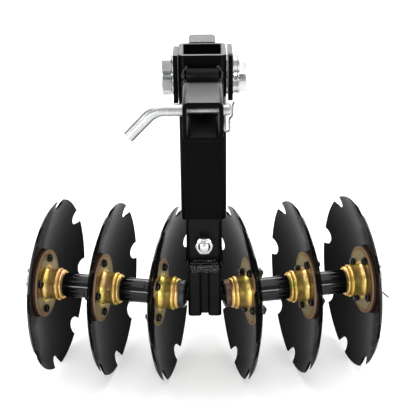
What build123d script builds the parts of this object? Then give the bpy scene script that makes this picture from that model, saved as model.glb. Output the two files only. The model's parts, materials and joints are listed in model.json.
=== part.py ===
"""Receiver-hitch disc harrow: two gangs of three notched discs in a shallow V under a square mast.

Millimetres.  +X is to the right as seen from the tractor, -Y is forward, +Z is up.
The origin is in the hitch shank, where the hitch pin crosses the shank's own axis.
"""
import math
import os

from build123d import *

# Hitch shank and mast
shank_size = 50.8
shank_wall = 5.5
shank_corner = 8.0
shank_bore_corner = 4.0
shank_length = 95.4
pin_setback = 48.5
mast_size = 63.5
mast_wall = 6.3
mast_corner = 8.0
mast_bore_corner = 4.0
mast_height = 236.4
mast_top_above_shank = 57.9
stop_bar_diameter = 18.5
stop_bar_length = 42.0

# Side plates, tab and cross bolts at the mast top
plate_thickness = 6.35
plate_depth = 58.0
plate_height = 65.0
plate_front_radius = 12.0
plate_rear_radius = 18.0
plate_gap_left = 0.4
plate_gap_right = 2.0
tab_width = 36.9
tab_length = 45.6
tab_thickness = 7.8
tab_corner_width = 5.1
tab_corner_length = 13.6
quarter_turn = 90.0
bolt_diameter = 16.0
bolt_clearance = 0.3
bolt_across_flats = 24.0
bolt_head_height = 10.5
bolt_nut_height = 13.6
cross_bolt_tail = 0.5
tube_bolt_tail = 5.0
upper_bolt_drop = 20.4
bolt_spacing = 28.1
washer_diameter = 27.2
washer_left = 2.0
washer_right = 8.3

# Hitch pin and its spring clip
pin_diameter = 15.9
pin_clearance = 0.05
pin_right_reach = 35.9
pin_chamfer = 2.0
pin_straight_left = 48.5
pin_bend_radius = 31.0
pin_bend_angle = 46.0
pin_handle_length = 36.7
clip_wire = 3.0
clip_clearance = 0.05
clip_station = 28.1
clip_leg_top = 17.5
clip_leg_bottom = 30.0
clip_width = 6.0
clip_bend_radius = 2.9
clip_flare = 2.0

# Lower tube and centre block
lower_tube_clearance = 0.05
lower_tube_wall = 5.0
lower_tube_corner = 6.0
lower_tube_bore_corner = 3.0
lower_tube_engagement = 100.0
lower_tube_show = 70.3
tube_bolt_height = 32.0
block_height = 81.3
block_front_lead = 24.3
block_width = 48.5
centre_plate_thickness = 9.7
centre_plate_recess = 7.8
block_edge_radius = 5.3

# Gangs
axis_above_block_bottom = 20.1
gang_lead = 14.6
gang_angle = 10.3
axle_diameter = 20.0
axle_clearance = 0.05
axle_inner_station = 8.0
end_gap = 0.3
spacer_diameter = 35.9
collar_diameter = 40.7
collar_length = 7.8
first_flange_station = 65.0
disc_spacing = 88.0

# Hubs
hub_root_diameter = 50.4
hub_waist_diameter = 45.8
hub_ridge_diameter = 49.5
hub_groove_diameter = 43.7
hub_nose_diameter = 45.0
hub_end_diameter = 40.7
hub_snout_length = 27.5
hub_end_taper = 2.0
hub_nose_width = 4.2
hub_groove_width = 1.2
hub_ridge_width = 5.4
hub_crown = 0.6
flange_diameter = 101.0
flange_thickness = 3.1
flange_groove = 0.8
flange_groove_depth = 2.5
ring_thickness = 2.5
hub_pilot_diameter = 42.7
hub_pilot_proud = 2.0

# Disc blades
disc_diameter = 257.0
blade_thickness = 4.0
blade_flat_diameter = 103.0
dish_depth = 24.6
edge_thickness = 1.5
edge_bevel = 5.8
notch_count = 8
notch_radius = 14.5
notch_inset = 0.5
pilot_clearance = 0.3
disc_bolt_circle_diameter = 76.6
disc_bolt_count = 4
disc_bolt_diameter = 8.0
disc_bolt_clearance = 0.3
disc_bolt_across_flats = 13.0
disc_bolt_head_diameter = 12.2
disc_bolt_head = 5.2
disc_bolt_dome = 3.5
disc_bolt_nut = 6.8
disc_bolt_tail = 2.5
disc_bolt_turn = 9.6

# Axle end hardware
end_washer_diameter = 38.0
end_washer_thickness = 3.0
castle_across_flats = 30.0
castle_height = 14.0
castle_slots = 6
castle_slot_width = 5.0
castle_slot_depth = 5.5
axle_tail = 1.5
cotter_wire = 2.4
cotter_clearance = 0.05
cotter_leg_left = 12.0
cotter_leg_right = 27.0
cotter_bend_radius = 4.0
cotter_bend_angle = 45.0
cotter_eye_radius = 3.5
cotter_eye_thickness = 1.8

# Turn of each disc's notches about its axle in degrees, from the rear upward
disc_turns = {
    "left_inner": 58.0,
    "left_middle": 90.0,
    "left_outer": 74.0,
    "right_inner": 10.0,
    "right_middle": 2.0,
    "right_outer": 7.0,
}
disc_places = ["inner", "middle", "outer"]
sides = {"left": -1, "right": 1}

# Places worked out from the sizes above
mast_front = shank_length - pin_setback
mast_y = mast_front + mast_size / 2
mast_top = mast_top_above_shank
lower_tube_size = mast_size - 2 * mast_wall - 2 * lower_tube_clearance
mast_bottom = mast_top - mast_height
lower_tube_bottom = mast_bottom - lower_tube_show
block_bottom = lower_tube_bottom - block_height
gang_z = block_bottom + axis_above_block_bottom
gang_y = mast_y - gang_lead
block_front = gang_y - block_front_lead
block_rear = mast_y + lower_tube_size / 2
plate_outer_left = -mast_size / 2 - plate_gap_left - plate_thickness
plate_inner_right = mast_size / 2 + plate_gap_right
plate_outer_right = plate_inner_right + plate_thickness
bolt_heights = [mast_top - upper_bolt_drop, mast_top - upper_bolt_drop - bolt_spacing]
tube_bolt_z = lower_tube_bottom + tube_bolt_height
blade_seat = flange_thickness + flange_groove + ring_thickness
hub_back = blade_seat + blade_thickness + hub_pilot_proud
disc_radius = disc_diameter / 2
blade_flat_radius = blade_flat_diameter / 2
axle_bore_radius = axle_diameter / 2 + axle_clearance
bolt_bore_radius = bolt_diameter / 2 + bolt_clearance
disc_bolt_bore_radius = disc_bolt_diameter / 2 + disc_bolt_clearance
disc_bolt_reach = disc_bolt_circle_diameter / 2

os.makedirs("parts", exist_ok=True)


def keep(piece, name):
    """Label a finished piece and write it as its own STEP file."""
    piece.label = name
    export_step(piece, f"parts/{name}.step")


def outward(side):
    """Unit direction of a gang's axle, from the centre block to its outer end."""
    angle = math.radians(gang_angle)
    return Vector(side * math.cos(angle), math.sin(angle), 0)


def axle_point(side, station):
    """Point on a gang's axle, at a distance from where the two axles meet."""
    return Vector(0, gang_y, gang_z) + outward(side) * station


def axle_axis(side):
    """A gang's axle as an axis."""
    return Axis(axle_point(side, 0), outward(side))


def profile_plane(side, station):
    """Sketch plane through the axle: local X is the radius, local Y runs outward from the station."""
    up = Vector(0, 0, 1)
    return Plane(origin=axle_point(side, station), x_dir=up, z_dir=up.cross(outward(side)))


def cross_plane(side, station):
    """Sketch plane square to the axle: local X points to the rear, local Z outward."""
    out = outward(side)
    rearward = Vector(-side * out.Y, side * out.X, 0)
    return Plane(origin=axle_point(side, station), x_dir=rearward, z_dir=out)


def flange_station(place):
    """Distance along the axle of a hub's front flange face."""
    return first_flange_station + disc_places.index(place) * disc_spacing


def square_tube(size, corner, wall, bore_corner, plane, length):
    """Square tube with rounded corners, drawn on a plane and extruded along its normal."""
    bore = size - 2 * wall
    with BuildPart() as tube:
        with BuildSketch(plane):
            RectangleRounded(size, size, corner)
            RectangleRounded(bore, bore, bore_corner, mode=Mode.SUBTRACT)
        extrude(amount=length)
    return tube.part


def make_mast():
    """Mast tube, open at both ends and drilled for the two cross bolts."""
    foot = Plane((0, mast_y, mast_bottom))
    with BuildPart() as mast:
        add(square_tube(mast_size, mast_corner, mast_wall, mast_bore_corner, foot, mast_height))
        with BuildSketch(Plane.YZ):
            with Locations(*[(mast_y, height) for height in bolt_heights]):
                Circle(bolt_bore_radius)
        extrude(amount=mast_size, both=True, mode=Mode.SUBTRACT)
    return mast.part


def make_shank():
    """Hitch shank tube, open at its front end, with the hitch pin's cross hole."""
    front = Plane((0, mast_front, 0), x_dir=(1, 0, 0), z_dir=(0, -1, 0))
    with BuildPart() as shank:
        add(square_tube(shank_size, shank_corner, shank_wall, shank_bore_corner, front, shank_length))
        with BuildSketch(Plane.YZ):
            Circle(pin_diameter / 2 + pin_clearance)
        extrude(amount=shank_size, both=True, mode=Mode.SUBTRACT)
    return shank.part


def make_stop_bar():
    """Round bar lying across the shank, against the mast."""
    centre_z = shank_size / 2 + stop_bar_diameter / 2
    centre_y = mast_front - stop_bar_diameter / 2
    with BuildPart() as bar:
        with BuildSketch(Plane((0, centre_y, centre_z), x_dir=(0, 1, 0), z_dir=(1, 0, 0))):
            Circle(stop_bar_diameter / 2)
        extrude(amount=stop_bar_length / 2, both=True)
    return bar.part


def make_side_plate(inner_x):
    """Side plate standing beside the mast, its front edge flush with the mast's front."""
    with BuildPart() as plate:
        with BuildSketch(Plane.YZ.offset(inner_x)):
            with BuildLine():
                top_rear = (mast_front + plate_depth, mast_top)
                low_rear = (mast_front + plate_depth, mast_top - plate_height)
                low_front = (mast_front, mast_top - plate_height)
                Polyline((mast_front, mast_top), top_rear, low_rear, low_front, close=True)
            make_face()
            corners = vertices().sort_by(Axis.Y)
            front_low = corners[:2].sort_by(Axis.Z)[0]
            rear_low = corners[2:].sort_by(Axis.Z)[0]
            rear_top = corners[2:].sort_by(Axis.Z)[-1]
            fillet([front_low, rear_low], plate_front_radius)
            fillet(rear_top, plate_rear_radius)
            with Locations(*[(mast_y, height) for height in bolt_heights]):
                Circle(bolt_bore_radius, mode=Mode.SUBTRACT)
        extrude(amount=plate_thickness)
    return plate.part


def hexagon(plane, across_flats, height, bore=0.0):
    """Nut or bolt head standing on a plane, its outer corners turned off by a cone."""
    corner = across_flats / math.sqrt(3)
    with BuildPart() as blank:
        with BuildSketch(plane):
            Circle(corner)
        extrude(amount=height)
        outer_face = blank.faces().sort_by(Axis(plane.origin, plane.z_dir))[-1]
        chamfer(outer_face.edges(), corner - across_flats / 2)
    with BuildPart() as piece:
        with BuildSketch(plane):
            RegularPolygon(across_flats / 2, 6, major_radius=False)
            if bore:
                Circle(bore, mode=Mode.SUBTRACT)
        extrude(amount=height)
        add(blank.part, mode=Mode.INTERSECT)
    return piece.part


def right_plane(x, height):
    """Sketch plane that faces right, on a cross bolt's axis."""
    return Plane((x, mast_y, height), x_dir=(0, 1, 0), z_dir=(1, 0, 0))


def left_plane(x, height):
    """Sketch plane that faces left, on a cross bolt's axis."""
    return Plane((x, mast_y, height), x_dir=(0, 1, 0), z_dir=(-1, 0, 0))


def make_cross_bolts():
    """Two hexagon bolts through plates and mast, heads to the right."""
    head_x = plate_outer_right + washer_right
    tail_x = plate_outer_left - washer_left - bolt_nut_height - cross_bolt_tail
    with BuildPart() as bolts:
        with BuildSketch(Plane.YZ.offset(tail_x)):
            with Locations(*[(mast_y, height) for height in bolt_heights]):
                Circle(bolt_diameter / 2)
        extrude(amount=head_x - tail_x)
        for height in bolt_heights:
            add(hexagon(right_plane(head_x, height), bolt_across_flats, bolt_head_height))
    return bolts.part


def make_cross_nuts():
    """Nuts of the two cross bolts, on the left."""
    with BuildPart() as nuts:
        for height in bolt_heights:
            seat = left_plane(plate_outer_left - washer_left, height)
            add(hexagon(seat, bolt_across_flats, bolt_nut_height, bolt_bore_radius))
    return nuts.part


def make_cross_washers():
    """Washers under nuts and heads, and those that space the right plate off the mast."""
    stacks = [
        (plate_outer_left - washer_left, washer_left),
        (-mast_size / 2 - plate_gap_left, plate_gap_left),
        (mast_size / 2, plate_gap_right),
        (plate_outer_right, washer_right),
    ]
    with BuildPart() as washers:
        for start, thickness in stacks:
            with BuildSketch(Plane.YZ.offset(start)):
                with Locations(*[(mast_y, height) for height in bolt_heights]):
                    Circle(washer_diameter / 2)
                    Circle(bolt_bore_radius, mode=Mode.SUBTRACT)
            extrude(amount=thickness)
    return washers.part


def make_rear_tab():
    """Flat tab behind the mast, level with its top, its end rounded off on both sides."""
    root = mast_y + mast_size / 2
    shoulder = root + tab_length - tab_corner_length
    round_start = tab_width / 2 - tab_corner_width
    with BuildPart() as tab:
        with BuildSketch(Plane.XY.offset(mast_top - tab_thickness)):
            with BuildLine() as edge:
                Polyline((0, root), (tab_width / 2, root), (tab_width / 2, shoulder))
                EllipticalCenterArc(
                    (round_start, shoulder), tab_corner_width, tab_corner_length, arc_size=quarter_turn
                )
                Line((round_start, root + tab_length), (0, root + tab_length))
                mirror(edge.line, about=Plane.YZ)
            make_face()
        extrude(amount=tab_thickness)
    return tab.part


def make_hitch_pin():
    """Bent hitch pin: a straight round bar through the shank with its left end turned down."""
    angle = math.radians(pin_bend_angle)
    bend_x = -pin_straight_left - pin_bend_radius * math.sin(angle)
    bend_z = -pin_bend_radius * (1 - math.cos(angle))
    end_x = bend_x - pin_handle_length * math.cos(angle)
    end_z = bend_z - pin_handle_length * math.sin(angle)
    with BuildPart() as pin:
        with BuildLine(Plane.XZ):
            straight = Line((pin_right_reach, 0), (-pin_straight_left, 0))
            bend = TangentArc(straight @ 1, (bend_x, bend_z), tangent=straight % 1)
            Line(bend @ 1, (end_x, end_z))
        with BuildSketch(Plane((pin_right_reach, 0, 0), x_dir=(0, 1, 0), z_dir=(-1, 0, 0))):
            Circle(pin_diameter / 2)
        sweep()
        chamfer(pin.edges().group_by(Axis.X)[-1], pin_chamfer)
        with BuildSketch(Plane.XY):
            with Locations((clip_station, 0)):
                Circle(clip_wire / 2 + clip_clearance)
        extrude(amount=pin_diameter, both=True, mode=Mode.SUBTRACT)
    return pin.part


def make_clip():
    """Spring clip: a straight leg down through the pin and a waved leg that comes up round its end."""
    outer = clip_station + clip_width
    grip = pin_right_reach + clip_wire / 2 + clip_clearance + pin_chamfer / 4
    half_pin = pin_diameter / 2
    under = half_pin + clip_wire + clip_clearance + pin_chamfer
    with BuildPart() as clip:
        with BuildLine(Plane.XZ):
            FilletPolyline(
                (clip_station, clip_leg_top),
                (clip_station, -clip_leg_bottom),
                (outer, -clip_leg_bottom),
                (outer, -under),
                (grip, -half_pin),
                (grip, half_pin / 2),
                (grip + clip_flare, half_pin + clip_flare),
                radius=clip_bend_radius,
            )
        with BuildSketch(Plane((clip_station, 0, clip_leg_top), x_dir=(1, 0, 0), z_dir=(0, 0, -1))):
            Circle(clip_wire / 2)
        sweep()
    return clip.part


def make_lower_tube():
    """Tube that slides up inside the mast, drilled front to back for its bolt."""
    height = lower_tube_show + lower_tube_engagement
    plane = Plane((0, mast_y, lower_tube_bottom))
    with BuildPart() as tube:
        add(
            square_tube(
                lower_tube_size, lower_tube_corner, lower_tube_wall, lower_tube_bore_corner, plane, height
            )
        )
        with BuildSketch(Plane.XZ.offset(-mast_y)):
            with Locations((0, tube_bolt_z)):
                Circle(bolt_bore_radius)
        extrude(amount=lower_tube_size, both=True, mode=Mode.SUBTRACT)
    return tube.part


def make_tube_bolt():
    """Bolt through the lower tube, its head at the rear and its end standing out of the nut in front."""
    front = mast_y - lower_tube_size / 2 - bolt_nut_height - tube_bolt_tail
    rear = Plane((0, mast_y + lower_tube_size / 2, tube_bolt_z), x_dir=(1, 0, 0), z_dir=(0, 1, 0))
    with BuildPart() as bolt:
        with BuildSketch(rear):
            Circle(bolt_diameter / 2)
        extrude(amount=front - rear.origin.Y)
        add(hexagon(rear, bolt_across_flats, bolt_head_height))
    return bolt.part


def make_tube_nut():
    """Nut on the lower tube's bolt, against the tube's front face."""
    face = Plane((0, mast_y - lower_tube_size / 2, tube_bolt_z), x_dir=(1, 0, 0), z_dir=(0, -1, 0))
    return hexagon(face, bolt_across_flats, bolt_nut_height, bolt_bore_radius)


def make_centre_plate():
    """Plate between the two gang blocks, set back from their front faces."""
    front = block_front + centre_plate_recess
    with BuildPart() as plate:
        with BuildSketch(Plane.XY.offset(block_bottom)):
            with Locations((0, (front + block_rear) / 2)):
                Rectangle(centre_plate_thickness, block_rear - front)
        extrude(amount=block_height)
    return plate.part


def make_gang_block(side):
    """Block that carries one gang's axle, with its front edges rounded."""
    width = (block_width - centre_plate_thickness) / 2
    with BuildPart() as block:
        with BuildSketch(Plane.XY.offset(block_bottom)):
            with Locations((side * (centre_plate_thickness + width) / 2, (block_front + block_rear) / 2)):
                Rectangle(width, block_rear - block_front)
            fillet(vertices().group_by(Axis.Y)[0], block_edge_radius)
        extrude(amount=block_height)
        with BuildSketch(cross_plane(side, axle_inner_station)):
            Circle(axle_bore_radius)
        extrude(amount=block_width, mode=Mode.SUBTRACT)
    return block.part


def turned(side, station, outline):
    """Solid of revolution about a gang's axle from an outline of (radius, distance) points."""
    with BuildPart() as ring:
        with BuildSketch(profile_plane(side, station)):
            with BuildLine():
                Polyline(*outline, close=True)
            make_face()
        revolve(axis=axle_axis(side))
    return ring.part


def tube_outline(inner, outer, start, end):
    """Outline of a plain tube between two stations."""
    return [(inner, start), (outer, start), (outer, end), (inner, end)]


def nut_station():
    """Station of the castle nut's inner face."""
    return flange_station("outer") + hub_back + end_gap + end_washer_thickness


def make_axle(side):
    """Axle rod of one gang, drilled near its outer end for the cotter pin."""
    length = nut_station() + castle_height + axle_tail - axle_inner_station
    with BuildPart() as axle:
        with BuildSketch(cross_plane(side, axle_inner_station)):
            Circle(axle_diameter / 2)
        extrude(amount=length)
        with BuildSketch(Plane.XY.offset(gang_z)):
            spot = axle_point(side, cotter_station())
            with Locations((spot.X, spot.Y)):
                Circle(cotter_wire / 2 + cotter_clearance)
        extrude(amount=axle_diameter, both=True, mode=Mode.SUBTRACT)
    return axle.part


def cotter_station():
    """Station of the cotter pin, in the middle of the castle nut's slots."""
    return nut_station() + castle_height - castle_slot_depth / 2


def make_spacers(side):
    """Spacer tubes between block and hubs, and the washer outside the last hub."""
    bore = axle_bore_radius
    radius = spacer_diameter / 2
    tilt = math.radians(gang_angle)
    start = (block_width / 2 + radius * math.sin(tilt)) / math.cos(tilt)
    with BuildPart() as spacers:
        for place in disc_places:
            front = flange_station(place) - hub_snout_length - end_gap
            if place == disc_places[0]:
                front -= collar_length
            add(turned(side, 0, tube_outline(bore, radius, start, front)))
            start = flange_station(place) + hub_back + end_gap
        washer_end = start + end_washer_thickness
        add(turned(side, 0, tube_outline(bore, end_washer_diameter / 2, start, washer_end)))
    return spacers.part


def make_collar(side):
    """Collar between a gang's first spacer tube and its inner hub."""
    end = flange_station(disc_places[0]) - hub_snout_length - end_gap
    outline = tube_outline(axle_bore_radius, collar_diameter / 2, end - collar_length, end)
    return turned(side, 0, outline)


def make_castle_nut(side):
    """Slotted hexagon nut on the axle's outer end."""
    seat = cross_plane(side, nut_station())
    with BuildPart() as nut:
        add(hexagon(seat, castle_across_flats, castle_height, axle_bore_radius))
        with BuildSketch(seat.offset(castle_height)):
            with PolarLocations(0, castle_slots // 2, start_angle=quarter_turn):
                Rectangle(castle_across_flats * 2, castle_slot_width)
        extrude(amount=-castle_slot_depth, mode=Mode.SUBTRACT)
    return nut.part


def pair(make):
    """The left and right pieces of one kind, as two solids of one node."""
    with BuildPart() as both:
        for side in sides.values():
            add(make(side))
    return both.part


def make_cotter(side):
    """Cotter pin down through the axle, its eye above and its leg bent outward below."""
    angle = math.radians(cotter_bend_angle)
    leg = cotter_leg_left if side < 0 else cotter_leg_right
    top = castle_across_flats / 2
    bend_x = cotter_bend_radius * (1 - math.cos(angle))
    bend_y = -top - cotter_bend_radius * math.sin(angle)
    end_x = bend_x + leg * math.sin(angle)
    end_y = bend_y - leg * math.cos(angle)
    spot = axle_point(side, cotter_station())
    up = Vector(0, 0, 1)
    plane = Plane(origin=spot, x_dir=outward(side), z_dir=outward(side).cross(up))
    with BuildPart() as cotter:
        with BuildLine(plane):
            shaft = Line((0, top), (0, -top))
            bend = TangentArc(shaft @ 1, (bend_x, bend_y), tangent=shaft % 1)
            Line(bend @ 1, (end_x, end_y))
        with BuildSketch(Plane(origin=spot + up * top, z_dir=-up)):
            Circle(cotter_wire / 2)
        sweep()
        with BuildSketch(plane):
            with Locations((0, top + cotter_eye_radius)):
                Circle(cotter_eye_radius + cotter_wire / 4)
                Circle(cotter_eye_radius - cotter_wire / 2, mode=Mode.SUBTRACT)
        extrude(amount=cotter_eye_thickness / 2, both=True)
    return cotter.part


def make_hub(side, place):
    """Turned hub: ridged snout towards the centre, bolt flange with a backing ring, and blade pilot."""
    station = flange_station(place)
    bore = axle_bore_radius
    end = hub_end_diameter / 2
    nose = hub_nose_diameter / 2
    groove = hub_groove_diameter / 2
    ridge = hub_ridge_diameter / 2
    flange = flange_diameter / 2
    flange_groove_radius = flange - flange_groove_depth
    pilot = hub_pilot_diameter / 2
    tip = -hub_snout_length
    nose_start = tip + hub_end_taper
    nose_end = nose_start + hub_nose_width
    ridge_start = nose_end + hub_groove_width
    ridge_end = ridge_start + hub_ridge_width
    with BuildPart() as hub:
        with BuildSketch(profile_plane(side, station)):
            with BuildLine():
                taper = Polyline((bore, tip), (end, tip), (nose - hub_crown, nose_start))
                first = ThreePointArc(
                    taper @ 1, (nose, (nose_start + nose_end) / 2), (nose - hub_crown, nose_end)
                )
                neck = Polyline(
                    first @ 1, (groove, nose_end), (groove, ridge_start), (ridge - hub_crown, ridge_start)
                )
                second = ThreePointArc(
                    neck @ 1, (ridge, (ridge_start + ridge_end) / 2), (ridge - hub_crown, ridge_end)
                )
                bell = ThreePointArc(
                    second @ 1, (hub_waist_diameter / 2, ridge_end / 2), (hub_root_diameter / 2, 0)
                )
                Polyline(
                    bell @ 1,
                    (flange, 0),
                    (flange, flange_thickness),
                    (flange_groove_radius, flange_thickness),
                    (flange_groove_radius, flange_thickness + flange_groove),
                    (flange, flange_thickness + flange_groove),
                    (flange, blade_seat),
                    (pilot, blade_seat),
                    (pilot, hub_back),
                    (bore, hub_back),
                    (bore, tip),
                )
            make_face()
        revolve(axis=axle_axis(side))
        with BuildSketch(cross_plane(side, station)):
            with PolarLocations(disc_bolt_reach, disc_bolt_count, start_angle=bolt_turn(side, place)):
                Circle(disc_bolt_bore_radius)
        extrude(amount=blade_seat, mode=Mode.SUBTRACT)
    return hub.part


def disc_turn(side, place):
    """Turn of a disc about its own axle, seen with the rear at zero and up at ninety degrees."""
    name = "left" if side < 0 else "right"
    return side * disc_turns[f"{name}_{place}"]


def bolt_turn(side, place):
    """Turn of a disc's bolt circle."""
    return disc_turn(side, place) + disc_bolt_turn


def dish_drop(radius):
    """How far the blade has dished forward of its flat centre at a radius."""
    span = disc_radius**2 - blade_flat_radius**2
    return dish_depth * (radius**2 - blade_flat_radius**2) / span


def make_blade(side, place):
    """Notched disc blade: flat centre, spherical dish towards the centre, bevelled and notched rim."""
    seat = flange_station(place) + blade_seat
    bore = hub_pilot_diameter / 2 + pilot_clearance
    middle = (blade_flat_radius + disc_radius) / 2
    bevel_radius = disc_radius - edge_bevel
    back_middle = (blade_flat_radius + bevel_radius) / 2
    with BuildPart() as blade:
        with BuildSketch(profile_plane(side, seat)):
            with BuildLine():
                front = ThreePointArc(
                    (blade_flat_radius, 0), (middle, -dish_drop(middle)), (disc_radius, -dish_depth)
                )
                back = ThreePointArc(
                    (bevel_radius, blade_thickness - dish_drop(bevel_radius)),
                    (back_middle, blade_thickness - dish_drop(back_middle)),
                    (blade_flat_radius, blade_thickness),
                )
                Polyline(front @ 1, (disc_radius, edge_thickness - dish_depth), back @ 0)
                Polyline(back @ 1, (bore, blade_thickness), (bore, 0), front @ 0)
            make_face()
        revolve(axis=axle_axis(side))
        with BuildSketch(cross_plane(side, seat)):
            with PolarLocations(disc_radius - notch_inset, notch_count, start_angle=disc_turn(side, place)):
                Circle(notch_radius)
        extrude(amount=disc_radius, both=True, mode=Mode.SUBTRACT)
        with BuildSketch(cross_plane(side, seat)):
            with PolarLocations(disc_bolt_reach, disc_bolt_count, start_angle=bolt_turn(side, place)):
                Circle(disc_bolt_bore_radius)
        extrude(amount=blade_thickness, mode=Mode.SUBTRACT)
    return blade.part


def bolt_planes(side, place, station, flip=1):
    """Sketch planes on a disc's bolt circle at a station, facing outward or, flipped, inward."""
    base = cross_plane(side, station)
    planes = []
    for index in range(disc_bolt_count):
        angle = math.radians(bolt_turn(side, place) + index * 360 / disc_bolt_count)
        around = Vector(math.cos(angle), math.sin(angle), 0)
        spot = base.from_local_coords(around * disc_bolt_reach)
        planes.append(Plane(origin=spot, x_dir=base.x_dir, z_dir=base.z_dir * flip))
    return planes


def domed_head(plane):
    """Round bolt head standing on a plane, with its outer edge rounded to a dome."""
    with BuildPart() as head:
        with BuildSketch(plane):
            Circle(disc_bolt_head_diameter / 2)
        extrude(amount=disc_bolt_head)
        outer_face = head.faces().sort_by(Axis(plane.origin, plane.z_dir))[-1]
        fillet(outer_face.edges(), disc_bolt_dome)
    return head.part


def make_disc_bolts(side, place):
    """The bolts that clamp one blade to its hub, heads on the hollow side."""
    front = flange_station(place)
    length = blade_seat + blade_thickness + disc_bolt_nut + disc_bolt_tail
    with BuildPart() as bolts:
        for plane in bolt_planes(side, place, front, -1):
            add(domed_head(plane))
            with BuildSketch(plane):
                Circle(disc_bolt_diameter / 2)
            extrude(amount=-length)
    return bolts.part


def make_disc_nuts(side, place):
    """The nuts of one blade's bolts, on the blade's back."""
    back = flange_station(place) + blade_seat + blade_thickness
    with BuildPart() as nuts:
        for plane in bolt_planes(side, place, back):
            add(hexagon(plane, disc_bolt_across_flats, disc_bolt_nut, disc_bolt_bore_radius))
    return nuts.part


keep(make_mast(), "mast_tube")
keep(make_shank(), "hitch_shank")
keep(make_stop_bar(), "stop_bar")
keep(make_side_plate(plate_outer_left), "side_plate_left")
keep(make_side_plate(plate_inner_right), "side_plate_right")
keep(make_cross_bolts(), "cross_bolts")
keep(make_cross_nuts(), "cross_bolt_nuts")
keep(make_cross_washers(), "cross_bolt_washers")
keep(make_rear_tab(), "rear_tab")
keep(make_hitch_pin(), "hitch_pin")
keep(make_clip(), "hitch_pin_clip")
keep(make_lower_tube(), "lower_tube")
keep(make_tube_bolt(), "lower_tube_bolt")
keep(make_tube_nut(), "lower_tube_nut")
keep(make_centre_plate(), "centre_plate")
keep(pair(make_collar), "gang_collars")
keep(pair(make_castle_nut), "castle_nuts")
keep(pair(make_cotter), "cotter_pins")
for side_name, side in sides.items():
    keep(make_gang_block(side), f"gang_block_{side_name}")
    keep(make_axle(side), f"axle_{side_name}")
    keep(make_spacers(side), f"spacer_tubes_{side_name}")
    for place in disc_places:
        keep(make_hub(side, place), f"hub_{side_name}_{place}")
        keep(make_blade(side, place), f"disc_blade_{side_name}_{place}")
        keep(make_disc_bolts(side, place), f"disc_bolts_{side_name}_{place}")
        keep(make_disc_nuts(side, place), f"disc_nuts_{side_name}_{place}")
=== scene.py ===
import json
import math

import bpy
from mathutils import Matrix, Vector, noise


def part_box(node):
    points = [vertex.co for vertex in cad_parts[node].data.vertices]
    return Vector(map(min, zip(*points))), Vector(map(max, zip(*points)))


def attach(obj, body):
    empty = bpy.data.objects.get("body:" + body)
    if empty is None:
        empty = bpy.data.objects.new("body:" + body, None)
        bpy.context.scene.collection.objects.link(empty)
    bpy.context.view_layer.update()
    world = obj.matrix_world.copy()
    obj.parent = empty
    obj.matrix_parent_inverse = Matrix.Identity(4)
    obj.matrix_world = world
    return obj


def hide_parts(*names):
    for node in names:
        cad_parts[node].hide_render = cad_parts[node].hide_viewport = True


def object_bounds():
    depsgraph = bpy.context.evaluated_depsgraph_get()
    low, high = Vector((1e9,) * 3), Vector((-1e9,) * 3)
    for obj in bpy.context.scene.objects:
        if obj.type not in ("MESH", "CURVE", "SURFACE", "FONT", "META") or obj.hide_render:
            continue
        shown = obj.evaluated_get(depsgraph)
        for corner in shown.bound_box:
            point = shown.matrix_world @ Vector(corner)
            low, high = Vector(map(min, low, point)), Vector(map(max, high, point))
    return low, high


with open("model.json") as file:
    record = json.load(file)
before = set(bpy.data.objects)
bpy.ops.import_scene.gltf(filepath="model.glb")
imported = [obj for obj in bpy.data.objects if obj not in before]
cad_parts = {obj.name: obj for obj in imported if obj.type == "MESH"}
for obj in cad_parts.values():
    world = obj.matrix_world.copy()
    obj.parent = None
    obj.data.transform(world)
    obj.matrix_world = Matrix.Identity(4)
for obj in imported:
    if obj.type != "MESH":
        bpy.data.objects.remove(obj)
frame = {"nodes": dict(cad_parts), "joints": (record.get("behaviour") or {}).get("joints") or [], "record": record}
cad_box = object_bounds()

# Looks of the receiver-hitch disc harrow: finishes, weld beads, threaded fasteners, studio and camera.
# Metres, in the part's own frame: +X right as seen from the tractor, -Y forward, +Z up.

MM = 0.001
RING = 48                        # points round each turned or threaded piece
CREASE = 35                      # degrees over which an edge is shaded sharp
CORNERS = ((1, 1), (-1, 1), (-1, -1), (1, -1))
CORNER_STEPS = 5

# Cross bolts at the mast's top and the bolt through the lower tube
BOLT_DIAMETER = 16 * MM
BOLT_FLATS = 24 * MM
BOLT_HEAD = 10.5 * MM
BOLT_NUT = 13.6 * MM
BOLT_PITCH = 2 * MM
BOLT_THREAD = 38 * MM
UPPER_BOLT_DROP = 20.4 * MM
BOLT_SPACING = 28.1 * MM
WASHER_DIAMETER = 27.2 * MM
SPRING_WASHER_DIAMETER = 24.5 * MM
FLAT_WASHER = 2.2 * MM
HEAD_TURNS = (-20, -29)          # degrees, upper and lower bolt
NUT_TURNS = (36, 43)

# Disc bolts
DISC_BOLT_DIAMETER = 8 * MM
DISC_BOLT_FLATS = 13 * MM
DISC_HEAD_DIAMETER = 12.2 * MM
DISC_HEAD_HEIGHT = 5.2 * MM
DISC_HEAD_DOME = 3.5 * MM
DISC_BOLT_NUT = 6.8 * MM
DISC_BOLT_LENGTH = 19.7 * MM
DISC_BOLT_PITCH = 1.25 * MM
DISC_BOLT_THREAD = 12 * MM
DISC_BOLT_COUNT = 4
DISC_BOLT_REACH = 38.3 * MM
BLADE_BACK = 10.4 * MM
DISC_SPACING = 88 * MM
DISC_BOLT_TURNS = (0.4, 1.7)     # radians: the first bolt's own turn, and what each next bolt adds

# Axle ends
AXLE_PITCH = 2.5 * MM
AXLE_THREAD = 16 * MM
AXLE_EASE = 1.2 * MM
AXLE_POINT = 0.82                # radius of the tip, over the axle's own
AXLE_PLAIN = 2.2 * MM            # part of the threaded end that is left plain

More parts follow.
